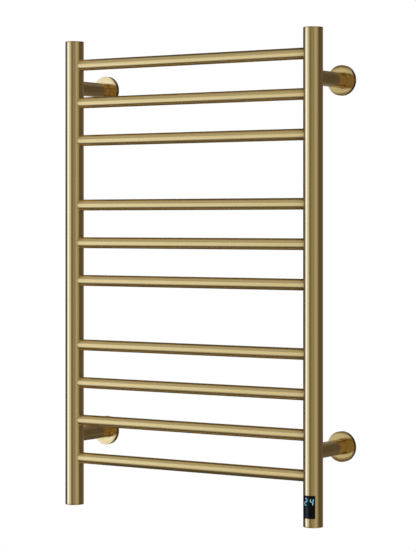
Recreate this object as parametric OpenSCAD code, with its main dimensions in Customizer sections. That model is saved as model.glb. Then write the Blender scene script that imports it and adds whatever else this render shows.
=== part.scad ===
// Electric towel warmer rack: two round uprights, ten round rungs and four wall fixings.
// The origin is the centre of the wall fixing pattern, on the wall plane.
// +Z is up, +X is the rack's right as seen from the room, and the wall is the plane Y = 0.
// The rack stands out from the wall along -Y.

/* [Uprights] */
// Height of each upright, end caps included
rack_height = 800; // [780:5:900]
// Distance between the axes of the two uprights
upright_spacing = 478; // [400:1:600]
// Outside diameter of each upright
upright_d = 32; // [31:0.5:34]
// Wall thickness of each upright
upright_wall = 1.5; // [1.2:0.1:1.6]
// Distance from the wall to the axes of the uprights
wall_distance = 97; // [92:1:110]

/* [Rungs] */
// Outside diameter of each rung
rung_d = 19; // [18:0.5:20]
// Wall thickness of each rung
rung_wall = 1.2; // [1:0.1:1.5]
// Height of the lowest rung above the lower end of the uprights
first_rung = 81; // [78:1:84]
// Distance between neighbouring rungs of a group
rung_pitch = 65; // [60:1:68]
// Distance between the facing rungs of two groups
group_gap = 111.3; // [100:0.1:115]

/* [Wall fixings] */
// Height of the lower fixings above the lower end of the uprights
lower_fixing = 120; // [115:1:125]
// Vertical distance between the lower and the upper fixings
fixing_span = 600; // [580:1:620]
// Outside diameter of each standoff tube
standoff_d = 25; // [24:0.5:26]
// Bore of each standoff tube
standoff_bore_d = 20; // [19.8:0.1:20.4]
// Diameter of each cover rosette
rosette_d = 50; // [49:0.5:56]
// Depth of each cover rosette, measured from the wall
rosette_depth = 8; // [6:0.1:8]
// Distance between the two screw holes of a wall plate
plate_hole_spacing = 36; // [35:0.5:37]
// Diameter of the wall screw holes
plate_hole_d = 4.5; // [4:0.1:5]

/* [Display] */
// Height of the display lens
lens_height = 36.8; // [34:0.1:38]
// Height of the lower edge of the lens above the lower end of the upright
lens_bottom = 14.8; // [14.6:0.1:17]
// Half of the angle that the lens covers round the front of the upright
lens_half_angle = 43; // [36:1:44]
// Height of the lit digits
digit_height = 12; // [12:0.5:15]

/* [Cable] */
// Diameter of the heating cable
heater_d = 5; // [4:0.1:5.2]
// Bore of the grommet that the mains cable comes in through
inlet_d = 8; // [7:0.1:8.5]

/* [Hidden] */
$fn = 96;

upright_x = upright_spacing / 2;
upright_r = upright_d / 2;
upright_bore_r = upright_r - upright_wall;
rung_r = rung_d / 2;
rung_bore_r = rung_r - rung_wall;
standoff_r = standoff_d / 2;
standoff_bore_r = standoff_bore_d / 2;
rosette_r = rosette_d / 2;

// Heights, with the fixing pattern's centre at 0
bottom_z = -lower_fixing - fixing_span / 2;
top_z = bottom_z + rack_height;
fixing_z = fixing_span / 2;

// Rung heights from the lowest rung up: a group of four, then two groups of three
group_b = first_rung + 3 * rung_pitch + group_gap;
group_c = group_b + 2 * rung_pitch + group_gap;
rung_heights = concat(
    [for (i = [0 : 3]) first_rung + i * rung_pitch],
    [for (i = [0 : 2]) group_b + i * rung_pitch],
    [for (i = [0 : 2]) group_c + i * rung_pitch]
);
rung_count = len(rung_heights);
// The rung ends reach just past the inside of the upright wall
rung_half_length = upright_x - sqrt(pow(upright_bore_r, 2) - pow(rung_r, 2));

// End caps
cap_disc = 3;
cap_plug = 6;
cap_edge_r = 1.2;
cap_plug_r = upright_bore_r - 0.1;

// Wall plates
plate_r = 22.5;
plate_thickness = 3;
spigot_r = standoff_bore_r - 0.05;
spigot_bore_r = 6;
spigot_end = 25;
groove_depth = 0.95;
groove_near = 11;
groove_far = 17;
countersink_r = 4.2;
countersink_depth = 1.8;
inlet_seat_r = 7;
inlet_seat_depth = 2;
grommet_length = 8;

// Grub screws, M5, under each standoff
grub_r = 2.5;
grub_reach = 14;
grub_recess = 0.4;
grub_socket_r = 1.45;

// Cover rosettes and the rubber ring in each
rosette_bore_r = standoff_r + 0.3;
rosette_wall = 1.5;
rosette_edge_r = 0.4;
wall_clearance = 0.3;
collar_r = 16;
collar_depth = 1.2;
ring_section_r = 0.75;
ring_clearance = 0.05;
ring_r = standoff_r + ring_clearance + ring_section_r;
groove_r = ring_r + ring_section_r + 0.05;
ring_groove_half = ring_section_r + 0.05;
ring_depth = rosette_depth - rosette_wall + 0.15;

// Display
lens_z = bottom_z + lens_bottom;
lens_gap = 0.1;
lens_gap_angle = lens_gap / upright_r * 180 / PI;
lens_inner_r = 13;
gasket_inner_r = 13.9;
gasket_angle = lens_half_angle + 7;
flange_margin = 2;
window_depth = 0.4;
digit_top = lens_z + lens_height - 4;
digit_half_angle = 12.5;
digit_centre_angle = 21;
bar_width = 1.7;
bar_gap = 0.3;
bar_angle = bar_width / upright_r * 180 / PI;
bar_gap_angle = bar_gap / upright_r * 180 / PI;

// Control unit, in the lower end of the right upright; depths are from the upright's axis
board_front = 0.5;
board_thickness = 1.6;
board_back = board_front + board_thickness;
board_half_width = 11;
board_bottom = bottom_z + 16;
board_top = bottom_z + 68;
carrier_outer_r = 14.2;
carrier_inner_r = 12.9;
carrier_bottom = bottom_z + cap_disc + cap_plug;
carrier_floor = 3.5;
carrier_top = board_top + 2;
screw_r = 1.5;
screw_head_r = 3;
screw_head = 1.8;

// Heating cable
heater_r = heater_d / 2;
heater_bend_r = 10;
heater_start = board_top + 2;
return_offset = 8;
fuse_bottom = bottom_z + 84;
fuse_top = fuse_bottom + 12;

// Supply side, in the lower right standoff; depths are from the wall
terminal_near = 30;
terminal_far = 50;
terminal_half = 6;
terminal_pitch = 3.6;
wire_r = 0.9;
wire_bend_r = 6;
wire_hole_r = 7;
wire_drop_y = 8;
earth_drop_y = -11.2;
earth_z = bottom_z + 96;
stud_r = 2;
tag_tail = 6.5;

brass = "#b39b63";
polished_brass = "#c9b077";
zinc = "#a9abab";
dark_steel = "#3a3a3c";
black_gloss = "#0b0c0e";
cyan_light = "#6fc7da";
rubber = "#1d1d1e";
silicone = "#b8472f";
board_green = "#24543a";
black_plastic = "#26272a";
pale_plastic = "#d9d7cf";
relay_blue = "#3b5c86";

// ---------------------------------------------------------------- helpers

// Places children on the axis of the upright on one side: -1 is left, 1 is right
module on_upright(side) {
    translate([side * upright_x, -wall_distance, 0]) children();
}

// Turns a shape made up along +Z into one that stands out from the wall at a fixing
module at_fixing(side, level) {
    translate([side * upright_x, 0, level * fixing_z]) rotate([90, 0, 0]) children();
}

// A ring or tube along Z
module tube(outer_r, inner_r, length) {
    difference() {
        cylinder(r = outer_r, h = length);
        translate([0, 0, -1]) cylinder(r = inner_r, h = length + 2);
    }
}

// A curved plate round the Z axis; angles are from -Y, positive towards +X
module curved_plate(inner_r, outer_r, angle_from, angle_to, z_from, z_to) {
    rotate([0, 0, angle_from - 90])
        rotate_extrude(angle = angle_to - angle_from)
            translate([inner_r, z_from]) square([outer_r - inner_r, z_to - z_from]);
}

// A box between two corners
module box_between(low, high) {
    translate(low) cube(high - low);
}

// ---------------------------------------------------------------- frame

module upright(side) {
    color(brass) on_upright(side) difference() {
        translate([0, 0, bottom_z + cap_disc])
            tube(upright_r, upright_bore_r, rack_height - 2 * cap_disc);
        for (height = rung_heights)
            translate([0, 0, bottom_z + height])
                rotate([0, -90 * side, 0]) cylinder(r = rung_r, h = upright_r + 1);
    }
}

module left_upright() {
    upright(-1);
}

// The right upright also has the display opening and the hole for the harness
module right_upright() {
    color(brass) difference() {
        upright(1);
        on_upright(1) curved_plate(
            upright_bore_r - 1, upright_r + 1,
            -lens_half_angle - lens_gap_angle, lens_half_angle + lens_gap_angle,
            lens_z - lens_gap, lens_z + lens_height + lens_gap
        );
        on_upright(1) translate([0, 0, -fixing_z])
            rotate([-90, 0, 0]) cylinder(r = wire_hole_r, h = upright_r + 1);
    }
}

// A cap has a disc with a rounded rim and a plug inside the tube
module cap_body() {
    rotate_extrude() {
        square([upright_r - cap_edge_r, cap_disc]);
        translate([0, cap_edge_r]) square([upright_r, cap_disc - cap_edge_r]);
        translate([upright_r - cap_edge_r, cap_edge_r]) circle(r = cap_edge_r);
        square([cap_plug_r, cap_disc + cap_plug]);
    }
}

module bottom_cap(side) {
    color(brass) on_upright(side) translate([0, 0, bottom_z]) cap_body();
}

module top_cap(side) {
    color(brass) on_upright(side) translate([0, 0, top_z]) mirror([0, 0, 1]) cap_body();
}

// The lower right cap comes off to slide the control unit out, so a screw holds it
module right_bottom_cap() {
    color(brass) difference() {
        bottom_cap(1);
        on_upright(1) translate([0, 0, bottom_z]) {
            translate([0, 0, -1]) cylinder(r = screw_r + 0.1, h = cap_disc + cap_plug + 2);
            cylinder(r1 = screw_head_r + 0.1, r2 = screw_r + 0.1, h = screw_head);
            translate([0, 0, -1]) cylinder(r = screw_head_r + 0.1, h = 1);
        }
    }
}

module cap_screw() {
    color(dark_steel) on_upright(1) translate([0, 0, bottom_z]) difference() {
        union() {
            cylinder(r1 = screw_head_r, r2 = screw_r, h = screw_head);
            cylinder(r = screw_r, h = cap_disc + cap_plug + carrier_floor);
        }
        translate([0, 0, -1]) cylinder(r = 1.1, h = 2.2, $fn = 6);
    }
}

// Rung 1 is the top one
module rung(number) {
    color(brass)
        translate([-rung_half_length, -wall_distance, bottom_z + rung_heights[rung_count - number]])
            rotate([0, 90, 0]) tube(rung_r, rung_bore_r, 2 * rung_half_length);
}

// ---------------------------------------------------------------- wall fixings

// The front end is cut to the curve of the upright that it is welded to
module standoff(side, level) {
    color(brass) difference() {
        at_fixing(side, level) difference() {
            translate([0, 0, plate_thickness])
                tube(standoff_r, standoff_bore_r, wall_distance - plate_thickness);
            translate([0, -standoff_r + 5, grub_reach])
                rotate([90, 0, 0]) cylinder(r = grub_r, h = 10);
        }
        on_upright(side) translate([0, 0, level * fixing_z - standoff_r - 1])
            cylinder(r = upright_r, h = standoff_d + 2);
    }
}

// A disc screwed to the wall, with the spigot that the standoff slides on
module wall_plate(side, level, inlet) {
    color(zinc) at_fixing(side, level) difference() {
        union() {
            cylinder(r = plate_r, h = plate_thickness);
            cylinder(r = spigot_r, h = groove_near);
            cylinder(r = spigot_r - groove_depth, h = spigot_end);
            translate([0, 0, groove_far]) cylinder(r = spigot_r, h = spigot_end - groove_far);
        }
        translate([0, 0, inlet ? -1 : plate_thickness]) cylinder(r = spigot_bore_r, h = spigot_end + 2);
        if (inlet)
            translate([0, 0, -1]) cylinder(r = inlet_seat_r, h = inlet_seat_depth + 1);
        for (x = [-plate_hole_spacing / 2, plate_hole_spacing / 2]) translate([x, 0, 0]) {
            translate([0, 0, -1]) cylinder(d = plate_hole_d, h = plate_thickness + 2);
            translate([0, 0, plate_thickness - countersink_depth])
                cylinder(r1 = plate_hole_d / 2, r2 = countersink_r, h = countersink_depth);
        }
    }
}

module cable_grommet() {
    color(rubber) at_fixing(1, -1) difference() {
        union() {
            cylinder(r = inlet_seat_r, h = inlet_seat_depth);
            cylinder(r = spigot_bore_r, h = grommet_length);
        }
        translate([0, 0, -1]) cylinder(d = inlet_d, h = grommet_length + 2);
    }
}

// A shallow cup that slides along the standoff; its collar holds the rubber ring
module rosette(side, level) {
    face = rosette_depth - rosette_wall;
    color(polished_brass) at_fixing(side, level) rotate_extrude() difference() {
        union() {
            translate([rosette_bore_r, face])
                square([rosette_r - rosette_edge_r - rosette_bore_r, rosette_wall]);
            translate([rosette_bore_r, face])
                square([rosette_r - rosette_bore_r, rosette_wall - rosette_edge_r]);
            translate([rosette_r - rosette_edge_r, rosette_depth - rosette_edge_r])
                circle(r = rosette_edge_r);
            translate([rosette_r - rosette_wall, wall_clearance])
                square([rosette_wall, face - wall_clearance]);
            translate([rosette_bore_r, face - collar_depth])
                square([collar_r - rosette_bore_r, collar_depth]);
        }
        translate([0, ring_depth - ring_groove_half])
            square([groove_r, 2 * ring_groove_half]);
    }
}

module rubber_ring(side, level) {
    color(rubber) at_fixing(side, level) translate([0, 0, ring_depth])
        rotate_extrude() translate([ring_r, 0]) circle(r = ring_section_r);
}

// One M5 grub screw under each standoff, biting in the groove of the spigot
module grub_screws() {
    tip = spigot_r - groove_depth;
    length = standoff_r - grub_recess - tip;
    color(dark_steel)
        for (side = [-1, 1], level = [-1, 1])
            at_fixing(side, level) translate([0, -tip, grub_reach]) rotate([90, 0, 0]) difference() {
                cylinder(r = grub_r, h = length);
                translate([0, 0, 1]) cylinder(r = grub_socket_r, h = length, $fn = 6);
            }
}

// ---------------------------------------------------------------- display

// Bars of a seven-segment digit; outer_r lets the lens pockets run past its surface
module digit_bars(centre_angle, bars, outer_r) {
    left = centre_angle - digit_half_angle;
    right = centre_angle + digit_half_angle;
    bottom = digit_top - digit_height;
    middle = digit_top - digit_height / 2;
    half_bar = bar_width / 2;
    inner_r = upright_r - window_depth;
    for (bar = bars) {
        if (bar == "top")
            curved_plate(inner_r, outer_r, left, right, digit_top - bar_width, digit_top);
        if (bar == "middle")
            curved_plate(inner_r, outer_r, left + bar_angle + bar_gap_angle,
                right - bar_angle - bar_gap_angle, middle - half_bar, middle + half_bar);
        if (bar == "bottom")
            curved_plate(inner_r, outer_r, left, right, bottom, bottom + bar_width);
        if (bar == "upper_left")
            curved_plate(inner_r, outer_r, left, left + bar_angle,
                middle + bar_gap / 2, digit_top - bar_width - bar_gap);
        if (bar == "upper_right")
            curved_plate(inner_r, outer_r, right - bar_angle, right,
                middle + bar_gap / 2, digit_top - bar_width - bar_gap);
        if (bar == "lower_left")
            curved_plate(inner_r, outer_r, left, left + bar_angle,
                bottom + bar_width + bar_gap, middle - bar_gap / 2);
        if (bar == "lower_right")
            curved_plate(inner_r, outer_r, right - bar_angle, right,
                bottom + bar_width + bar_gap, middle - bar_gap / 2);
    }
}

// The readout shows 24, a temperature
module readout(outer_r) {
    digit_bars(-digit_centre_angle, ["top", "upper_right", "middle", "lower_left", "bottom"], outer_r);
    digit_bars(digit_centre_angle, ["upper_left", "upper_right", "middle", "lower_right"], outer_r);
}

// Flush outside with the upright; an inner flange holds it against the gasket
module display_lens() {
    color(black_gloss) on_upright(1) difference() {
        union() {
            curved_plate(lens_inner_r, upright_r, -lens_half_angle, lens_half_angle,
                lens_z, lens_z + lens_height);
            curved_plate(lens_inner_r, gasket_inner_r, -gasket_angle, gasket_angle,
                lens_z - flange_margin, lens_z + lens_height + flange_margin);
        }
        readout(upright_r + 0.5);
    }
}

module digit_windows() {
    color(cyan_light) on_upright(1) readout(upright_r);
}

module display_gasket() {
    color(rubber) on_upright(1) difference() {
        curved_plate(gasket_inner_r, upright_bore_r, -gasket_angle, gasket_angle,
            lens_z - flange_margin, lens_z + lens_height + flange_margin);
        curved_plate(gasket_inner_r - 1, upright_bore_r + 1,
            -lens_half_angle - lens_gap_angle, lens_half_angle + lens_gap_angle,
            lens_z - lens_gap, lens_z + lens_height + lens_gap);
    }
}

// ---------------------------------------------------------------- control unit

module digit_module() {
    color(black_plastic) on_upright(1) difference() {
        box_between([-8.8, -8.8, digit_top - digit_height - 2], [8.8, board_front, digit_top + 2]);
        for (x = [-4.4, 4.4])
            box_between([x - 3.4, -9.8, digit_top - digit_height], [x + 3.4, -7, digit_top]);
    }
}

// A metal spring between the board and the lens: the touch key's electrode
module touch_spring() {
    color(zinc) on_upright(1) translate([0, board_front, lens_z + 8]) rotate([90, 0, 0]) {
        tube(4.5, 4, 11);
        translate([0, 0, 11]) cylinder(r = 4.5, h = 0.6);
    }
}

module control_board() {
    color(board_green) on_upright(1) box_between(
        [-board_half_width, board_front, board_bottom],
        [board_half_width, board_back, board_top]
    );
}

module power_relay() {
    color(relay_blue) on_upright(1) box_between(
        [-6, board_back, board_bottom + 20], [6, 10.5, board_bottom + 39]
    );
}

module board_capacitor() {
    color(black_plastic) on_upright(1) translate([0, board_back + 4, board_bottom + 2])
        cylinder(r = 4, h = 16);
}

module mains_connector() {
    color(pale_plastic) on_upright(1) box_between(
        [-6, board_back, board_top - 10], [6, 11, board_top]
    );
}

module heater_connector() {
    color(pale_plastic) on_upright(1) union() {
        box_between([-3, -5, board_top - 10], [9.8, board_front, heater_start]);
        box_between([-3, board_front, board_top], [9.8, 2.5, heater_start]);
    }
}

// Half shell at the back of the tube, with a floor for the cap's screw and a slot for the board
module control_carrier() {
    slot_play = 0.05;
    color(black_plastic) on_upright(1) difference() {
        union() {
            curved_plate(carrier_inner_r, carrier_outer_r, 100, 260, carrier_bottom, carrier_top);
            translate([0, 0, carrier_bottom]) cylinder(r = carrier_inner_r + 0.3, h = carrier_floor);
            intersection() {
                translate([0, 0, carrier_bottom]) cylinder(r = 13.5, h = carrier_top - carrier_bottom);
                for (side = [-1, 1])
                    translate([side * 12, 2, (carrier_bottom + carrier_top) / 2])
                        cube([4, 4.4, carrier_top - carrier_bottom], center = true);
            }
        }
        box_between(
            [-board_half_width - slot_play, board_front - slot_play, board_bottom - slot_play],
            [board_half_width + slot_play, board_back + slot_play, carrier_top + 1]
        );
        translate([0, 0, carrier_bottom - 1]) cylinder(r = screw_r, h = carrier_floor + 2);
    }
}

// ---------------------------------------------------------------- heating

// A quarter turn of the heating cable in the plane of the rungs, from the start angle on
module heater_elbow(x, z, start_angle) {
    translate([x, -wall_distance, z]) rotate([90, 0, 0]) rotate([0, 0, start_angle])
        rotate_extrude(angle = 90) translate([heater_bend_r, 0]) circle(r = heater_r);
}

module heater_straight_z(x, z_from, z_to) {
    translate([x, -wall_distance, z_from]) cylinder(r = heater_r, h = z_to - z_from);
}

module heater_straight_x(x_from, x_to, z) {
    translate([x_from, -wall_distance, z]) rotate([0, 90, 0]) cylinder(r = heater_r, h = x_to - x_from);
}

// Up from the control unit, to and fro through the rungs, and back down the right upright
module heating_cable() {
    turn_x = upright_x - heater_bend_r;
    return_x = upright_x + return_offset;
    last_z = bottom_z + rung_heights[rung_count - 1];
    color(silicone) union() {
        heater_straight_z(upright_x, heater_start, bottom_z + first_rung - heater_bend_r);
        heater_elbow(turn_x, bottom_z + first_rung - heater_bend_r, 0);
        for (i = [0 : rung_count - 2])
            heater_straight_x(-turn_x, turn_x, bottom_z + rung_heights[i]);
        for (i = [0 : rung_count - 2]) {
            side = i % 2 == 0 ? -1 : 1;
            z_low = bottom_z + rung_heights[i] + heater_bend_r;
            z_high = bottom_z + rung_heights[i + 1] - heater_bend_r;
            heater_elbow(side * turn_x, z_low, side < 0 ? 180 : 270);
            heater_straight_z(side * upright_x, z_low, z_high);
            heater_elbow(side * turn_x, z_high, side < 0 ? 90 : 0);
        }
        heater_straight_x(-turn_x, return_x - heater_bend_r, last_z);
        heater_elbow(return_x - heater_bend_r, last_z - heater_bend_r, 0);
        heater_straight_z(return_x, fuse_top, last_z - heater_bend_r);
    }
}

module thermal_fuse() {
    color(pale_plastic) on_upright(1) translate([return_offset, 0, heater_start]) {
        cylinder(r = wire_r, h = fuse_bottom - heater_start);
        translate([0, 0, fuse_bottom - heater_start]) cylinder(r = 3, h = fuse_top - fuse_bottom);
    }
}

module temperature_sensor() {
    color(zinc) on_upright(1) {
        translate([-5, 11.9, bottom_z + 84]) cylinder(r = 1.5, h = 12);
        translate([-5, 10.4, board_top]) cylinder(r = 0.5, h = bottom_z + 84 - board_top + 1);
    }
}

// ---------------------------------------------------------------- supply side

module terminal_block() {
    color(pale_plastic) at_fixing(1, -1) difference() {
        box_between([-terminal_half, -terminal_half, terminal_near],
            [terminal_half, terminal_half, terminal_far]);
        for (i = [-1 : 1]) {
            translate([i * terminal_pitch, 0, terminal_near - 1]) cylinder(r = 1.3, h = 9);
            for (depth = [terminal_near + 5, terminal_far - 5])
                translate([i * terminal_pitch, terminal_half - 2, depth])
                    rotate([-90, 0, 0]) cylinder(r = 1.3, h = 3);
        }
    }
}

module terminal_screws() {
    color(zinc) at_fixing(1, -1)
        for (i = [-1 : 1], depth = [terminal_near + 5, terminal_far - 5])
            translate([i * terminal_pitch, terminal_half - 2, depth]) rotate([-90, 0, 0]) difference() {
                cylinder(r = 1.2, h = 2.4);
                translate([-0.2, -2, 1.8]) cube([0.4, 4, 1]);
            }
}

// A lead from the terminal block: straight in, one bend, then down inside the right upright.
// drop_y is the depth of its lower leg from the upright's axis.
module lead(x, drop_y, end_z) {
    bend_y = drop_y + wire_bend_r;
    on_upright(1) translate([x, 0, -fixing_z]) {
        translate([0, bend_y, 0]) rotate([-90, 0, 0])
            cylinder(r = wire_r, h = wall_distance - terminal_far - bend_y);
        translate([0, bend_y, -wire_bend_r]) rotate([90, 0, 90]) rotate([0, 0, 90])
            rotate_extrude(angle = 90) translate([wire_bend_r, 0]) circle(r = wire_r);
        translate([0, drop_y, end_z + fixing_z]) cylinder(r = wire_r, h = -wire_bend_r - end_z - fixing_z);
    }
}

module inner_harness() {
    color(relay_blue) {
        lead(-terminal_pitch, wire_drop_y, board_top);
        lead(0, wire_drop_y, board_top);
        lead(terminal_pitch, earth_drop_y, earth_z + tag_tail);
    }
}

// Welded to the inside of the tube wall, so its root follows the bore
module earth_stud() {
    color(zinc) on_upright(1) intersection() {
        translate([terminal_pitch, -7.5, earth_z]) rotate([90, 0, 0]) cylinder(r = stud_r, h = 8);
        translate([0, 0, earth_z - 5]) cylinder(r = upright_bore_r, h = 10);
    }
}

module earth_nut() {
    color(zinc) on_upright(1) translate([terminal_pitch, -8.2, earth_z]) rotate([90, 0, 0]) difference() {
        cylinder(r = 4, h = 2.2, $fn = 6);
        translate([0, 0, -1]) cylinder(r = stud_r, h = 5);
    }
}

module earth_tag() {
    color(zinc) on_upright(1) translate([terminal_pitch, -10.4, earth_z]) rotate([90, 0, 0]) difference() {
        union() {
            cylinder(r = 4, h = 0.8);
            translate([-1.5, 0, 0]) cube([3, tag_tail, 0.8]);
        }
        translate([0, 0, -1]) cylinder(r = stud_r, h = 3);
    }
}

// ---------------------------------------------------------------- output

left_upright();
right_upright();
top_cap(-1);  // left_top_cap
bottom_cap(-1);  // left_bottom_cap
top_cap(1);  // right_top_cap
right_bottom_cap();
cap_screw();
rung(1);  // rung_01
rung(2);  // rung_02
rung(3);  // rung_03
rung(4);  // rung_04
rung(5);  // rung_05
rung(6);  // rung_06
rung(7);  // rung_07
rung(8);  // rung_08
rung(9);  // rung_09
rung(10);  // rung_10
standoff(-1, 1);  // upper_left_standoff
standoff(1, 1);  // upper_right_standoff
standoff(-1, -1);  // lower_left_standoff
standoff(1, -1);  // lower_right_standoff
wall_plate(-1, 1, false);  // upper_left_wall_plate
wall_plate(1, 1, false);  // upper_right_wall_plate
wall_plate(-1, -1, false);  // lower_left_wall_plate
wall_plate(1, -1, true);  // lower_right_wall_plate
rosette(-1, 1);  // upper_left_rosette
rosette(1, 1);  // upper_right_rosette
rosette(-1, -1);  // lower_left_rosette
rosette(1, -1);  // lower_right_rosette
rubber_ring(-1, 1);  // upper_left_ring
rubber_ring(1, 1);  // upper_right_ring
rubber_ring(-1, -1);  // lower_left_ring
rubber_ring(1, -1);  // lower_right_ring
grub_screws();
cable_grommet();
display_lens();
digit_windows();
display_gasket();
digit_module();
touch_spring();
control_board();
power_relay();
board_capacitor();
mains_connector();
heater_connector();
control_carrier();
heating_cable();
thermal_fuse();
temperature_sensor();
terminal_block();
terminal_screws();
inner_harness();
earth_stud();
earth_nut();
earth_tag();
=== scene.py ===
"""Looks of an electric towel warmer rack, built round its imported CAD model.

The row frame has the wall at Y = 0, the room on the -Y side and Z up. Everything is in metres.
Rungs, standoffs, rosettes, the display lens and its digits get finer meshes here, with weld
fillets and rounded edges. The other CAD nodes stay and get a procedural finish.
"""
import math

import bmesh
import bpy
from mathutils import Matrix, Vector


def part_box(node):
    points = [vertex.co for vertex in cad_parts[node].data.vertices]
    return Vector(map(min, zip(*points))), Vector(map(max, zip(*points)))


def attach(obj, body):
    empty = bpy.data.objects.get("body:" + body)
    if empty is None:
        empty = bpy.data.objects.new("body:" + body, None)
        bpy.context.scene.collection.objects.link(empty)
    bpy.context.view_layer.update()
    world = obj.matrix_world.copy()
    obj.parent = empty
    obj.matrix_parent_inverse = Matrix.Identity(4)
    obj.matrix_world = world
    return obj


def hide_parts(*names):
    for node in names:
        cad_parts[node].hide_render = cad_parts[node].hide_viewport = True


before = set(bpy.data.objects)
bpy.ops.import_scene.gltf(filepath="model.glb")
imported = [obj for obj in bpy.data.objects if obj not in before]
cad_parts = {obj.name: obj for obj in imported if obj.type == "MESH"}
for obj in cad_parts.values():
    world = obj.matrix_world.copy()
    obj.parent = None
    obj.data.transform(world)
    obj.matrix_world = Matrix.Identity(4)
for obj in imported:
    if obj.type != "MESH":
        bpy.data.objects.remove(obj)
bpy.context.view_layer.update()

MM = 0.001
CORNERS = ("upper_left", "upper_right", "lower_left", "lower_right")
RUNGS = sorted(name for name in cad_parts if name.startswith("rung_"))


# ---------------------------------------------------------------- sizes read from the frame

def centre(node):
    """Middle of a CAD node's box."""
    low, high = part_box(node)
    return (low + high) / 2


def extent(node):
    """Size of a CAD node's box."""
    low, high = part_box(node)
    return high - low


UPRIGHT_R = extent("left_upright").x / 2
UPRIGHT_X = centre("right_upright").x
UPRIGHT_Y = centre("right_upright").y
RUNG_R = extent("rung_01").z / 2
STANDOFF_R = extent("upper_left_standoff").x / 2
ROSETTE_R = extent("upper_left_rosette").x / 2
RACK_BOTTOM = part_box("left_bottom_cap")[0].z

RUNG_WALL = 1.2 * MM
STANDOFF_BORE_R = 10 * MM
WELD_R = 1.0 * MM
WELD_SINK = 0.5 * MM


# ---------------------------------------------------------------- camera, floor and light

CAMERA_PLACE = (1.8777, -2.8867, 0.0669)
CAMERA_HEADING = math.radians(33.41)
CAMERA_LENS_MM = 131.66
CAMERA_SHIFT_Y = -0.0966

FLOOR_DROP = 0.55
FLOOR_RADIUS = 2.5


def add_camera():
    """A level camera at the photograph's viewing angle."""
    data = bpy.data.cameras.new("camera")
    data.lens = CAMERA_LENS_MM
    data.shift_y = CAMERA_SHIFT_Y
    camera = bpy.data.objects.new("camera", data)
    camera.location = CAMERA_PLACE
    camera.rotation_euler = (math.radians(90), 0, CAMERA_HEADING)
    bpy.context.scene.collection.objects.link(camera)
    bpy.context.scene.camera = camera


def add_floor():
    """A round pale floor below the rack, kept out of the metal's reflections."""
    mesh = bpy.data.meshes.new("floor")
    build = bmesh.new()
    bmesh.ops.create_circle(build, cap_ends=True, radius=FLOOR_RADIUS, segments=128)
    build.to_mesh(mesh)
    build.free()
    floor = bpy.data.objects.new("floor", mesh)
    floor.location = (0, 0, RACK_BOTTOM - FLOOR_DROP)
    floor.visible_glossy = False
    bpy.context.scene.collection.objects.link(floor)
    material, nodes, links, shader = new_material("floor_paint")
    shader.inputs["Roughness"].default_value = 0.9
    speckle = noise(nodes, links, object_coordinates(nodes), (6, 6, 6), detail=3)
    tone = blend_colours(nodes, links, speckle, (0.97, 0.97, 0.965, 1), (1, 1, 0.995, 1))
    links.new(tone, shader.inputs["Base Color"])
    mesh.materials.append(material)


# Soft boxes on a round light tent. Bearings are degrees from the room side, positive to the rack's
# right. Half widths and elevations come in pairs: where the light is full, and where it is gone.
# Colours are radiances. The first five boxes started from a numeric fit of test renders to the
# photograph. They were rounded, and then partly changed. The other four boxes and the ambient
# light were set one by one.
TENT_RADIUS = 3.5
SOFT_BOXES = (
    # The key, the softer light beside it and the strip above both
    dict(bearing=-53, width=(10, 21), low=(-15, -46), high=(9, 32), colour=(0.54, 0.71, 1.20)),
    dict(bearing=-35, width=(10, 34), low=(-17, -56), high=(4, 30), colour=(0.565, 0.61, 0.57)),
    dict(bearing=-44, width=(18, 56), low=(42, -2), high=(50, 75), colour=(0.39, 0.42, 0.42)),
    # Two weak fills from the right
    dict(bearing=35, width=(5, 42), low=(-50, -65), high=(50, 65), colour=(0.22, 0.22, 0.17)),
    dict(bearing=70, width=(2, 28), low=(-50, -65), high=(50, 65), colour=(0.29, 0.28, 0.24)),
    # Ceiling, ground and two boxes behind the rack
    dict(bearing=100, width=(80, 125), low=(62, 30), high=(89, 90), colour=(0.36, 0.37, 0.38)),
    dict(bearing=90, width=(40, 75), low=(-89, -90), high=(-40, -18), colour=(0.32, 0.32, 0.31)),
    dict(bearing=202, width=(15, 42), low=(-12, -38), high=(12, 38), colour=(0.18, 0.17, 0.15)),
    dict(bearing=150, width=(30, 65), low=(-30, -60), high=(30, 60), colour=(0.026, 0.022, 0.018)),
)
AMBIENT = (0.090, 0.078, 0.064)


def sine(degrees):
    return math.sin(math.radians(degrees))


def cosine(degrees):
    return math.cos(math.radians(degrees))


def add_soft_box(nodes, links, direction, bearing, width, low, high, colour):
    """Radiance of one soft box as a colour output: full inside, fading out to its edges."""
    flat = nodes.new("ShaderNodeVectorMath")
    flat.operation = "MULTIPLY"
    links.new(direction, flat.inputs[0])
    flat.inputs[1].default_value = (1, 1, 0)
    level = nodes.new("ShaderNodeVectorMath")
    level.operation = "NORMALIZE"
    links.new(flat.outputs[0], level.inputs[0])
    towards = nodes.new("ShaderNodeVectorMath")
    towards.operation = "DOT_PRODUCT"
    links.new(level.outputs[0], towards.inputs[0])
    towards.inputs[1].default_value = (sine(bearing), -cosine(bearing), 0)
    split = nodes.new("ShaderNodeSeparateXYZ")
    links.new(direction, split.inputs[0])
    full, gone = width
    across = ranged(nodes, links, towards.outputs["Value"],
                    cosine(gone), cosine(full), smooth=True)
    height = split.outputs["Z"]
    lower = ranged(nodes, links, height, sine(low[1]), sine(low[0]), smooth=True)
    upper = ranged(nodes, links, height, sine(high[1]), sine(high[0]), smooth=True)
    factor = multiply(nodes, links, multiply(nodes, links, across, lower), upper)
    return blend_colours(nodes, links, factor, (0, 0, 0, 1), (*colour, 1))


def add_world():
    """A plain white surround."""
    world = bpy.data.worlds.new("surround")
    world.use_nodes = True
    world.node_tree.nodes["Background"].inputs["Color"].default_value = (1, 1, 1, 1)
    bpy.context.scene.world = world
    bpy.context.scene.view_settings.view_transform = "Standard"


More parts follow.
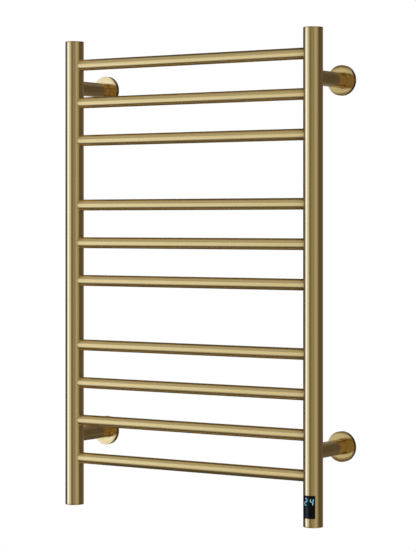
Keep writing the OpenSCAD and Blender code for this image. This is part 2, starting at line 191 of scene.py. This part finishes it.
def add_light_tent():
    """Soft boxes in a dim warm room, seen only in gloss and reflections."""
    material = bpy.data.materials.new("light_tent")
    material.use_nodes = True
    material.cycles.emission_sampling = "NONE"
    nodes, links = material.node_tree.nodes, material.node_tree.links
    nodes.clear()
    direction = nodes.new("ShaderNodeVectorMath")
    direction.operation = "NORMALIZE"
    links.new(object_coordinates(nodes), direction.inputs[0])
    total = (*AMBIENT, 1)
    for box in SOFT_BOXES:
        light = add_soft_box(nodes, links, direction.outputs[0], **box)
        add = nodes.new("ShaderNodeMix")
        add.data_type = "RGBA"
        add.blend_type = "ADD"
        add.inputs["Factor"].default_value = 1
        set_or_link(links, total, add.inputs["A"])
        links.new(light, add.inputs["B"])
        total = add.outputs["Result"]
    glow = nodes.new("ShaderNodeEmission")
    links.new(total, glow.inputs["Color"])
    output = nodes.new("ShaderNodeOutputMaterial")
    links.new(glow.outputs[0], output.inputs["Surface"])

    mesh = bpy.data.meshes.new("light_tent")
    build = bmesh.new()
    bmesh.ops.create_icosphere(build, subdivisions=5, radius=TENT_RADIUS)
    build.to_mesh(mesh)
    build.free()
    mesh.materials.append(material)
    tent = bpy.data.objects.new("light_tent", mesh)
    tent.visible_camera = False
    tent.visible_diffuse = False
    tent.visible_transmission = False
    tent.visible_shadow = False
    bpy.context.scene.collection.objects.link(tent)


# ---------------------------------------------------------------- shader helpers

def new_material(name):
    """A node material with its Principled shader."""
    material = bpy.data.materials.new(name)
    material.use_nodes = True
    nodes, links = material.node_tree.nodes, material.node_tree.links
    return material, nodes, links, nodes["Principled BSDF"]


def object_coordinates(nodes):
    return nodes.new("ShaderNodeTexCoord").outputs["Object"]


def noise(nodes, links, coordinates, scale, detail=4, roughness=0.55):
    """Noise whose frequency per metre is given along x, y and z."""
    mapping = nodes.new("ShaderNodeMapping")
    mapping.inputs["Scale"].default_value = scale
    links.new(coordinates, mapping.inputs["Vector"])
    texture = nodes.new("ShaderNodeTexNoise")
    texture.inputs["Scale"].default_value = 1
    texture.inputs["Detail"].default_value = detail
    texture.inputs["Roughness"].default_value = roughness
    links.new(mapping.outputs[0], texture.inputs["Vector"])
    return texture.outputs["Fac"]


def set_or_link(links, value, socket):
    """Puts a number or colour on a socket, or links an output to it."""
    if isinstance(value, bpy.types.NodeSocket):
        links.new(value, socket)
    else:
        socket.default_value = value


def blend_colours(nodes, links, factor, first, second):
    mix = nodes.new("ShaderNodeMix")
    mix.data_type = "RGBA"
    links.new(factor, mix.inputs["Factor"])
    set_or_link(links, first, mix.inputs["A"])
    set_or_link(links, second, mix.inputs["B"])
    return mix.outputs["Result"]


def ranged(nodes, links, value, from_low, from_high, to_low=0, to_high=1, smooth=False):
    """Maps a value between two ranges, with clamping and, if asked, soft ends."""
    node = nodes.new("ShaderNodeMapRange")
    if smooth:
        node.interpolation_type = "SMOOTHSTEP"
    links.new(value, node.inputs["Value"])
    node.inputs["From Min"].default_value = from_low
    node.inputs["From Max"].default_value = from_high
    node.inputs["To Min"].default_value = to_low
    node.inputs["To Max"].default_value = to_high
    return node.outputs["Result"]


def multiply(nodes, links, first, second):
    return math_node(nodes, links, "MULTIPLY", first, second)


def math_node(nodes, links, operation, first, second):
    node = nodes.new("ShaderNodeMath")
    node.operation = operation
    set_or_link(links, first, node.inputs[0])
    set_or_link(links, second, node.inputs[1])
    return node.outputs[0]


def add_bump(nodes, links, shader, height, strength, depth):
    bump = nodes.new("ShaderNodeBump")
    bump.inputs["Strength"].default_value = strength
    bump.inputs["Distance"].default_value = depth
    links.new(height, bump.inputs["Height"])
    links.new(bump.outputs["Normal"], shader.inputs["Normal"])


# ---------------------------------------------------------------- metals

# The light and dark tones of the brass's stains
BRASS_LIGHT = (0.80, 0.588, 0.272, 1)
BRASS_DARK = (0.70, 0.505, 0.220, 1)
# The rungs are a little lighter: a lit copy of the same brass, painted light that brightens their
# highlight
RUNG_LIGHT = (0.91, 0.680, 0.322, 1)
RUNG_DARK = (0.79, 0.580, 0.257, 1)
# The rosettes' fronts, and the painted shade on their sides
ROSETTE_LIGHT = (0.81, 0.620, 0.310, 1)
ROSETTE_DARK = (0.73, 0.535, 0.245, 1)
BRASS_PAINTED_SIDE_SHADE = (0.33, 0.24, 0.115, 1)
# Edges rubbed bright with a painted highlight, and painted shade in the corners beside the welds
BRASS_WORN_AND_HIGHLIGHT = (0.88, 0.690, 0.380, 1)
BRASS_PAINTED_CORNER_SHADE = (0.15, 0.10, 0.045, 1)
CORNER_SHADE_REACH = 11 * MM
RUNG_CORNER_SHADE_REACH = 20 * MM
# Pointiness where an edge starts to look rubbed and to carry its painted highlight, and where it
# is fully so
EDGE_START = 0.53
EDGE_FULL = 0.62
# Noise frequency per metre along the grain, across it and for broad stains
ALONG_GRAIN = 14
ACROSS_GRAIN = 1900
STAINS = 22
# A quarter turn lays the stretched highlight along the tube
GRAIN_TURN = 0.25
SCRATCH_DEPTH = 0.01 * MM


def grain_scale(axis):
    """Noise scale of brush marks that run along one axis."""
    return tuple(ALONG_GRAIN if name == axis else ACROSS_GRAIN for name in "XYZ")


def painted_shade_openness(nodes, links, reach):
    """1 on open metal, falling to 0 in the corner of a weld: the mask of painted shade, from
    ambient occlusion.
    """
    occlusion = nodes.new("ShaderNodeAmbientOcclusion")
    occlusion.samples = 8
    occlusion.inputs["Distance"].default_value = reach
    return ranged(nodes, links, occlusion.outputs["AO"], 0.6, 0.97)


def brushed_brass(name, axis, light, dark, roughness, anisotropy, corner_shade_reach=0):
    """Brass with fine brush marks along an axis, soft stains, and worn edges with a painted
    highlight.

    Within corner_shade_reach of a weld's corner it is darker: painted shade, from ambient
    occlusion.
    """
    material, nodes, links, shader = new_material(name)
    place = object_coordinates(nodes)
    grain = noise(nodes, links, place, grain_scale(axis), detail=5, roughness=0.7)
    stains = noise(nodes, links, place, (STAINS, STAINS, STAINS / 3), detail=4)
    tone = math_node(nodes, links, "ADD", multiply(nodes, links, grain, 0.45),
                     multiply(nodes, links, stains, 0.55))
    metal = blend_colours(nodes, links, tone, dark, light)
    # Painted shade in the corners beside the welds
    if corner_shade_reach:
        openness = painted_shade_openness(nodes, links, corner_shade_reach)
        metal = blend_colours(nodes, links, openness, BRASS_PAINTED_CORNER_SHADE, metal)
    geometry = nodes.new("ShaderNodeNewGeometry")
    pointiness = geometry.outputs["Pointiness"]
    # Worn edges, lightened with a painted highlight
    edge = ranged(nodes, links, pointiness, EDGE_START, EDGE_FULL, 0, 0.7)
    links.new(blend_colours(nodes, links, edge, metal, BRASS_WORN_AND_HIGHLIGHT), shader.inputs["Base Color"])
    rough = ranged(nodes, links, tone, 0.25, 0.75, roughness - 0.05, roughness + 0.05)
    rubbed = ranged(nodes, links, edge, 0, 1, 1, 0.7)
    links.new(multiply(nodes, links, rough, rubbed), shader.inputs["Roughness"])
    shader.inputs["Metallic"].default_value = 1
    shader.inputs["Anisotropic"].default_value = anisotropy
    shader.inputs["Anisotropic Rotation"].default_value = GRAIN_TURN
    tangent = nodes.new("ShaderNodeTangent")
    tangent.direction_type = "RADIAL"
    tangent.axis = axis
    links.new(tangent.outputs[0], shader.inputs["Tangent"])
    add_bump(nodes, links, shader, grain, 0.14, SCRATCH_DEPTH)
    return material


def turned_brass(name):
    """Rosettes are turned brass; their sides get painted shade, darker than their fronts."""
    material, nodes, links, shader = new_material(name)
    place = object_coordinates(nodes)
    stains = noise(nodes, links, place, (60, 60, 60), detail=5)
    pits = noise(nodes, links, place, (420, 420, 420), detail=3)
    metal = blend_colours(nodes, links, stains, ROSETTE_DARK, ROSETTE_LIGHT)
    geometry = nodes.new("ShaderNodeNewGeometry")
    # Painted shade: where the normal turns away from the room, the sides darken
    facing = nodes.new("ShaderNodeSeparateXYZ")
    links.new(geometry.outputs["Normal"], facing.inputs[0])
    frontal = math_node(nodes, links, "ABSOLUTE", facing.outputs["Y"], 0)
    front = ranged(nodes, links, frontal, 0.15, 0.6)
    metal = blend_colours(nodes, links, front, BRASS_PAINTED_SIDE_SHADE, metal)
    pointiness = geometry.outputs["Pointiness"]
    # Worn edges, lightened with a painted highlight
    edge = ranged(nodes, links, pointiness, EDGE_START, EDGE_FULL, 0, 0.8)
    links.new(blend_colours(nodes, links, edge, metal, BRASS_WORN_AND_HIGHLIGHT), shader.inputs["Base Color"])
    links.new(ranged(nodes, links, pits, 0.3, 0.7, 0.13, 0.20), shader.inputs["Roughness"])
    shader.inputs["Metallic"].default_value = 1
    add_bump(nodes, links, shader, pits, 0.15, SCRATCH_DEPTH)
    return material


def plain_metal(name, light, dark, roughness):
    """Plated or blackened steel with a cloudy tone and fine scratches."""
    material, nodes, links, shader = new_material(name)
    place = object_coordinates(nodes)
    clouds = noise(nodes, links, place, (180, 180, 180), detail=5, roughness=0.65)
    scratches = noise(nodes, links, place, (2500, 300, 300), detail=2)
    links.new(blend_colours(nodes, links, clouds, dark, light), shader.inputs["Base Color"])
    links.new(ranged(nodes, links, scratches, 0.3, 0.7, roughness - 0.08, roughness + 0.08),
              shader.inputs["Roughness"])
    shader.inputs["Metallic"].default_value = 1
    add_bump(nodes, links, shader, scratches, 0.2, SCRATCH_DEPTH)
    return material


# ---------------------------------------------------------------- other finishes

def dull_surface(name, light, dark, roughness, scale=1200, bump=0.3):
    """Moulded plastic, rubber or silicone: a fine-grained, slightly uneven surface."""
    material, nodes, links, shader = new_material(name)
    place = object_coordinates(nodes)
    clouds = noise(nodes, links, place, (90, 90, 90), detail=4)
    grit = noise(nodes, links, place, (scale, scale, scale), detail=2)
    links.new(blend_colours(nodes, links, clouds, dark, light), shader.inputs["Base Color"])
    links.new(ranged(nodes, links, grit, 0.3, 0.7, roughness - 0.06, roughness + 0.06),
              shader.inputs["Roughness"])
    add_bump(nodes, links, shader, grit, bump, 0.02 * MM)
    return material


def circuit_board(name):
    """Green solder mask with copper tracks showing through."""
    material, nodes, links, shader = new_material(name)
    place = object_coordinates(nodes)
    tracks = nodes.new("ShaderNodeTexBrick")
    tracks.inputs["Scale"].default_value = 260
    tracks.inputs["Color1"].default_value = (0.016, 0.085, 0.040, 1)
    tracks.inputs["Color2"].default_value = (0.020, 0.105, 0.050, 1)
    tracks.inputs["Mortar"].default_value = (0.050, 0.190, 0.080, 1)
    tracks.inputs["Mortar Size"].default_value = 0.03
    turned = nodes.new("ShaderNodeMapping")
    turned.inputs["Rotation"].default_value = (math.radians(90), 0, 0)
    links.new(place, turned.inputs["Vector"])
    links.new(turned.outputs[0], tracks.inputs["Vector"])
    links.new(tracks.outputs["Color"], shader.inputs["Base Color"])
    mottle = noise(nodes, links, place, (700, 700, 700), detail=2)
    links.new(ranged(nodes, links, mottle, 0.3, 0.7, 0.28, 0.42), shader.inputs["Roughness"])
    add_bump(nodes, links, shader, tracks.outputs["Fac"], 0.3, 0.03 * MM)
    return material


def black_lens(name):
    """Near-black glossy lens with the faintest smears."""
    material, nodes, links, shader = new_material(name)
    place = object_coordinates(nodes)
    smears = noise(nodes, links, place, (140, 140, 60), detail=4)
    links.new(blend_colours(nodes, links, smears, (0.0001, 0.0006, 0.0012, 1),
                            (0.0004, 0.0014, 0.0026, 1)), shader.inputs["Base Color"])
    links.new(ranged(nodes, links, smears, 0.3, 0.7, 0.03, 0.08), shader.inputs["Roughness"])
    shader.inputs["Specular IOR Level"].default_value = 0.25
    return material


def lit_segment(name):
    """A lit bar: brightest in the middle of its light patches, behind the lens's gloss."""
    material, nodes, links, shader = new_material(name)
    place = object_coordinates(nodes)
    patches = noise(nodes, links, place, (300, 300, 300), detail=2)
    glow = blend_colours(nodes, links, patches, (0.15, 0.44, 0.56, 1), (0.26, 0.58, 0.68, 1))
    shader.inputs["Base Color"].default_value = (0.02, 0.05, 0.06, 1)
    shader.inputs["Roughness"].default_value = 0.15
    links.new(glow, shader.inputs["Emission Color"])
    shader.inputs["Emission Strength"].default_value = 1.0
    return material


def make_finishes():
    """Every finish by name; brass comes once for each direction that its marks run in."""
    brass = dict(light=BRASS_LIGHT, dark=BRASS_DARK, roughness=0.18, anisotropy=0.3)
    rung_brass = dict(light=RUNG_LIGHT, dark=RUNG_DARK, roughness=0.20, anisotropy=0.7,
                      corner_shade_reach=RUNG_CORNER_SHADE_REACH)
    return {
        "brushed_brass": brushed_brass("upright_brass", "Z", **brass, corner_shade_reach=CORNER_SHADE_REACH),
        "rung_brass": brushed_brass("rung_brass", "X", **rung_brass),
        "standoff_brass": brushed_brass("standoff_brass", "Y", **brass),
        "polished_brass": turned_brass("rosette_brass"),
        "zinc_steel": plain_metal("zinc_plate", (0.66, 0.67, 0.68, 1),
                                  (0.48, 0.49, 0.50, 1), 0.38),
        "dark_steel": plain_metal("black_steel", (0.07, 0.07, 0.075, 1),
                                  (0.03, 0.03, 0.03, 1), 0.4),
        "lens_black": black_lens("lens_gloss"),
        "digit_light": lit_segment("digit_glow"),
        "black_rubber": dull_surface("soft_rubber", (0.022, 0.022, 0.023, 1),
                                     (0.010, 0.010, 0.010, 1), 0.75),
        "silicone_cable": dull_surface("cable_silicone", (0.56, 0.105, 0.045, 1),
                                       (0.42, 0.070, 0.030, 1), 0.55),
        "circuit_board": circuit_board("solder_mask"),
        "black_plastic": dull_surface("moulded_black", (0.030, 0.031, 0.034, 1),
                                      (0.014, 0.014, 0.016, 1), 0.5),
        "pale_plastic": dull_surface("moulded_white", (0.72, 0.70, 0.64, 1),
                                     (0.60, 0.58, 0.52, 1), 0.45),
        "relay_blue": dull_surface("relay_case", (0.060, 0.130, 0.290, 1),
                                   (0.040, 0.090, 0.210, 1), 0.4),
        "lead_blue": dull_surface("lead_cover", (0.050, 0.140, 0.360, 1),
                                  (0.035, 0.100, 0.270, 1), 0.5),
    }


# ---------------------------------------------------------------- mesh helpers

ROUND = 96
SHARP_ANGLE = math.radians(32)


def finish_mesh(name, build, material, body, replaced):
    """Turns a bmesh into a smooth-shaded piece that rides on a body."""
    bmesh.ops.recalc_face_normals(build, faces=build.faces)
    mesh = bpy.data.meshes.new(name)
    build.to_mesh(mesh)
    build.free()
    mesh.polygons.foreach_set("use_smooth", [True] * len(mesh.polygons))
    mesh.set_sharp_from_angle(angle=SHARP_ANGLE)
    mesh.materials.append(material)
    piece = bpy.data.objects.new(name, mesh)
    bpy.context.scene.collection.objects.link(piece)
    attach(piece, body)
    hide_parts(*replaced)
    return piece


def add_loops(build, loops, capped=False):
    """Skins loops of equal length in turn: the last one joins the first, or both get a cap."""
    rings = [[build.verts.new(point) for point in loop] for loop in loops]
    pairs = list(zip(rings, rings[1:]))
    if capped:
        build.faces.new(rings[0])
        build.faces.new(rings[-1])
    else:
        pairs.append((rings[-1], rings[0]))
    for ring, following in pairs:
        for i in range(len(ring)):
            j = (i + 1) % len(ring)
            build.faces.new((ring[i], ring[j], following[j], following[i]))


def circle(radius, axial):
    """A loop round a tube's axis, as (along the axis, across, up)."""
    angles = [2 * math.pi * i / ROUND for i in range(ROUND)]
    return [(axial, radius * math.cos(a), radius * math.sin(a)) for a in angles]


def weld_loops(tube_r, steps=7):
    """Loops of the weld fillet where a tube meets an upright, from the tube to the upright.

    A ball of the weld's radius rolls round the corner, touching both surfaces: its centre is on
    both surfaces moved out by that radius. Distances along the tube are from the upright's axis.
    """
    loops = [[] for _ in range(steps + 1)]
    for i in range(ROUND):
        a = 2 * math.pi * i / ROUND
        across = (tube_r + WELD_R) * math.cos(a)
        up = (tube_r + WELD_R) * math.sin(a)
        along = math.sqrt((UPRIGHT_R + WELD_R) ** 2 - across ** 2)
        ball = Vector((along, across, up))
        on_tube = Vector((along, tube_r * math.cos(a), tube_r * math.sin(a)))
        reach = UPRIGHT_R / (UPRIGHT_R + WELD_R)
        on_upright = Vector((along * reach, across * reach, up))
        first = (on_tube - ball).normalized()
        last = (on_upright - ball).normalized()
        for step, loop in enumerate(loops):
            loop.append(tuple(ball + WELD_R * first.slerp(last, step / steps)))
    return loops


def sunk(loop):
    """A loop moved along the tube, into the upright's wall."""
    return [(along - WELD_SINK, across, up) for along, across, up in loop]


def bore_mouth(bore_r):
    """The loop of a tube's bore just below the upright's surface."""
    mouth = []
    for _, across, up in circle(bore_r, 0):
        mouth.append((math.sqrt(UPRIGHT_R ** 2 - across ** 2) - WELD_SINK, across, up))
    return mouth


def lathe(build, profile, place, segments=128):
    """Turns a closed profile of (radius, depth) round an axis; place maps (depth, across, up)."""
    loops = []
    for radius, depth in profile:
        angles = [2 * math.pi * i / segments for i in range(segments)]
        loops.append([place(depth, radius * math.cos(a), radius * math.sin(a)) for a in angles])
    add_loops(build, loops)


def arc(centre_r, centre_depth, radius, start, end, steps=6):
    """Points of a rounded corner in a lathe profile; angles in degrees from outward."""
    points = []
    for i in range(steps + 1):
        a = math.radians(start + (end - start) * i / steps)
        points.append((centre_r + radius * math.cos(a), centre_depth + radius * math.sin(a)))
    return points


# ---------------------------------------------------------------- rungs and standoffs

def make_rung(node, finishes):
    """A rung with a weld fillet at each end, as one closed solid."""
    height = centre(node).z
    weld = weld_loops(RUNG_R)
    mouth = bore_mouth(RUNG_R - RUNG_WALL)
    end = [mouth, sunk(weld[-1])] + weld[::-1]

    def place(side, loop):
        return [(side * (UPRIGHT_X - along), UPRIGHT_Y + across, height + up)
                for along, across, up in loop]

    build = bmesh.new()
    left = [place(-1, loop) for loop in end]
    right = [place(1, loop) for loop in end]
    add_loops(build, left + right[::-1])
    return finish_mesh(node + "_tube", build, finishes["rung_brass"], "rack",
                       [node])


def make_standoff(corner, finishes):
    """A standoff tube welded to the back of an upright, with a threaded hole underneath."""
    node = corner + "_standoff"
    middle = centre(node)
    wall_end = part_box(node)[1].y - UPRIGHT_Y
    chamfer = 0.4 * MM
    weld = weld_loops(STANDOFF_R)
    loops = [bore_mouth(STANDOFF_BORE_R), sunk(weld[-1])] + weld[::-1] + [
        circle(STANDOFF_R, wall_end - chamfer),
        circle(STANDOFF_R - chamfer, wall_end),
        circle(STANDOFF_BORE_R, wall_end),
    ]
    build = bmesh.new()
    add_loops(build, [[(middle.x + across, UPRIGHT_Y + along, middle.z + up)
                       for along, across, up in loop] for loop in loops])
    piece = finish_mesh(corner + "_standoff_tube", build, finishes["standoff_brass"], "rack",
                        [node])
    cut_grub_hole(piece, middle)
    return piece


def cut_grub_hole(piece, middle):
    """Drills the hole of the grub screw from below, with the countersink of its thread."""
    screws = centre("grub_screws")
    hole_r = 2.5 * MM
    mouth_r = 2.8 * MM
    lip = 0.25 * MM
    depths = ((hole_r, -STANDOFF_R + 4 * MM), (hole_r, -STANDOFF_R + lip),
              (mouth_r, -STANDOFF_R - lip), (mouth_r, -STANDOFF_R - 2 * MM))
    angles = [2 * math.pi * i / 48 for i in range(48)]
    loops = [[(middle.x + radius * math.cos(a), screws.y + radius * math.sin(a), middle.z + up)
              for a in angles] for radius, up in depths]
    build = bmesh.new()
    add_loops(build, loops, capped=True)
    bmesh.ops.recalc_face_normals(build, faces=build.faces)
    mesh = bpy.data.meshes.new("drill")
    build.to_mesh(mesh)
    build.free()
    drill = bpy.data.objects.new("drill", mesh)
    bpy.context.scene.collection.objects.link(drill)
    cut = piece.modifiers.new("grub_hole", "BOOLEAN")
    cut.operation = "DIFFERENCE"
    cut.solver = "EXACT"
    cut.object = drill
    bpy.context.view_layer.update()
    drilled = bpy.data.meshes.new_from_object(
        piece.evaluated_get(bpy.context.evaluated_depsgraph_get()))
    piece.modifiers.clear()
    piece.data = drilled
    drilled.set_sharp_from_angle(angle=SHARP_ANGLE)
    bpy.data.objects.remove(drill)


# ---------------------------------------------------------------- rosettes

def make_rosette(corner, finishes):
    """A turned cup that slides on the standoff, with a rounded rim and a softened bore."""
    node = corner + "_rosette"
    low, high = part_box(node)
    middle = centre(node)
    front = -low.y
    back = -high.y
    wall = 1.5 * MM
    rim = 0.4 * MM
    lip = 0.25 * MM
    chamfer = 0.2 * MM
    bore_r = STANDOFF_R + 0.15 * MM
    collar_r = 16 * MM
    collar_back = front - wall - 1.2 * MM
    profile = [(ROSETTE_R - wall, back), (ROSETTE_R - chamfer, back), (ROSETTE_R, back + chamfer)]
    profile += arc(ROSETTE_R - rim, front - rim, rim, 0, 90, 8)
    profile += arc(bore_r + lip, front - lip, lip, 90, 180, 5)
    profile += [(bore_r, front - 0.6 * MM), (bore_r, collar_back), (collar_r, collar_back),
                (collar_r, front - wall), (ROSETTE_R - wall, front - wall)]
    build = bmesh.new()
    lathe(build, profile,
          lambda depth, across, up: (middle.x + across, -depth, middle.z + up))
    return finish_mesh(corner + "_rosette_cup", build, finishes["polished_brass"],
                       corner + "_cover", [node])


# ---------------------------------------------------------------- display

LENS_HALF_ANGLE = math.radians(43)
LENS_THICKNESS = 3 * MM
LENS_EDGE_R = 0.35 * MM
DIGIT_SLANT = math.tan(math.radians(6))
DIGIT_WIDTH = 6.1 * MM
DIGIT_PITCH = math.radians(19.5) * UPRIGHT_R
DIGIT_SHIFT = math.radians(2.5) * UPRIGHT_R
DIGIT_PROUD = 0.02 * MM
BAR_WIDTH = 1.5 * MM
BAR_GAP = 0.25 * MM
BAR_DEPTH = 0.35 * MM
# Segments of a digit in half widths and half heights from its middle: (start, end)
SEGMENTS = {
    "top": ((-1, 1), (1, 1)),
    "middle": ((-1, 0), (1, 0)),
    "bottom": ((-1, -1), (1, -1)),
    "upper_left": ((-1, 0), (-1, 1)),
    "upper_right": ((1, 0), (1, 1)),
    "lower_left": ((-1, -1), (-1, 0)),
    "lower_right": ((1, -1), (1, 0)),
}
READOUT = (
    (-1, ("top", "upper_right", "middle", "lower_left", "bottom")),
    (1, ("upper_left", "upper_right", "middle", "lower_right")),
)


def on_tube(angle, radius, height):
    """A point round the right upright; the angle is from the room side, positive to the right."""
    return (UPRIGHT_X + radius * math.sin(angle), UPRIGHT_Y - radius * math.cos(angle), height)


def curved_slab(build, inner_r, outer_r, half_angle, low, high, steps=40):
    """A closed plate that follows the tube."""
    angles = [half_angle * (2 * i / steps - 1) for i in range(steps + 1)]
    corners = ((inner_r, low), (outer_r, low), (outer_r, high), (inner_r, high))
    add_loops(build, [[on_tube(a, r, z) for r, z in corners] for a in angles], capped=True)


def make_lens(finishes):
    """The display lens: a curved pane with softened edges, flush with the tube."""
    low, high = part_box("display_lens")
    flange = 2 * MM
    build = bmesh.new()
    curved_slab(build, UPRIGHT_R - LENS_THICKNESS, UPRIGHT_R, LENS_HALF_ANGLE,
                low.z + flange, high.z - flange)
    lens = finish_mesh("display_lens_pane", build, finishes["lens_black"], "rack",
                       ["display_lens"])
    bevel = lens.modifiers.new("soft_edges", "BEVEL")
    bevel.width = LENS_EDGE_R
    bevel.segments = 3
    bevel.limit_method = "ANGLE"
    bevel.angle_limit = math.radians(50)
    return lens


def add_bar(build, start, end, middle_arc, middle_z, half_height):
    """One lit bar with pointed ends, laid on the lens; start and end as in SEGMENTS."""
    steps = 14

    def flat(point):
        across = point[0] * (DIGIT_WIDTH - BAR_WIDTH) / 2
        up = point[1] * (half_height - BAR_WIDTH / 2)
        return Vector((across, up))

    first, last = flat(start), flat(end)
    along = (last - first).normalized()
    side = Vector((-along.y, along.x))
    first, last = first + along * BAR_GAP, last - along * BAR_GAP
    length = (last - first).length
    columns = []
    for i in range(steps + 1):
        travelled = length * i / steps
        half = max(min(BAR_WIDTH / 2, travelled, length - travelled), 0.02 * MM)
        point = first + along * travelled
        columns.append([point - side * half, point, point + side * half])
    loops = []
    for column in columns:
        front = [wrapped(p, middle_arc, middle_z, UPRIGHT_R + DIGIT_PROUD) for p in column]
        back = [wrapped(p, middle_arc, middle_z, UPRIGHT_R - BAR_DEPTH) for p in column]
        loops.append(front + back[::-1])
    add_loops(build, loops, capped=True)


def wrapped(point, middle_arc, middle_z, radius):
    """A flat point of a digit, wrapped on the tube with the digit's slant."""
    across = middle_arc + point.x + point.y * DIGIT_SLANT
    return on_tube(across / UPRIGHT_R, radius, middle_z + point.y)


def make_digits(finishes):
    """The lit readout, 24."""
    low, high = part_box("digit_windows")
    half_height = (high.z - low.z) / 2
    middle_z = (high.z + low.z) / 2
    build = bmesh.new()
    for side, bars in READOUT:
        for bar in bars:
            start, end = SEGMENTS[bar]
            add_bar(build, start, end, DIGIT_SHIFT + side * DIGIT_PITCH, middle_z, half_height)
    return finish_mesh("digit_bars", build, finishes["digit_light"], "rack",
                       ["digit_windows"])


# ---------------------------------------------------------------- the scene

def finish_cad_nodes(finishes):
    """Gives every CAD node the procedural finish of its material slot."""
    for name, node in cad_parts.items():
        for slot in node.material_slots:
            slot.material = finishes[slot.material.name.split(".")[0]]


def main():
    add_camera()
    add_world()
    add_floor()
    add_light_tent()
    finishes = make_finishes()
    finish_cad_nodes(finishes)
    for node in RUNGS:
        make_rung(node, finishes)
    for corner in CORNERS:
        make_standoff(corner, finishes)
        make_rosette(corner, finishes)
    make_lens(finishes)
    make_digits(finishes)


main()
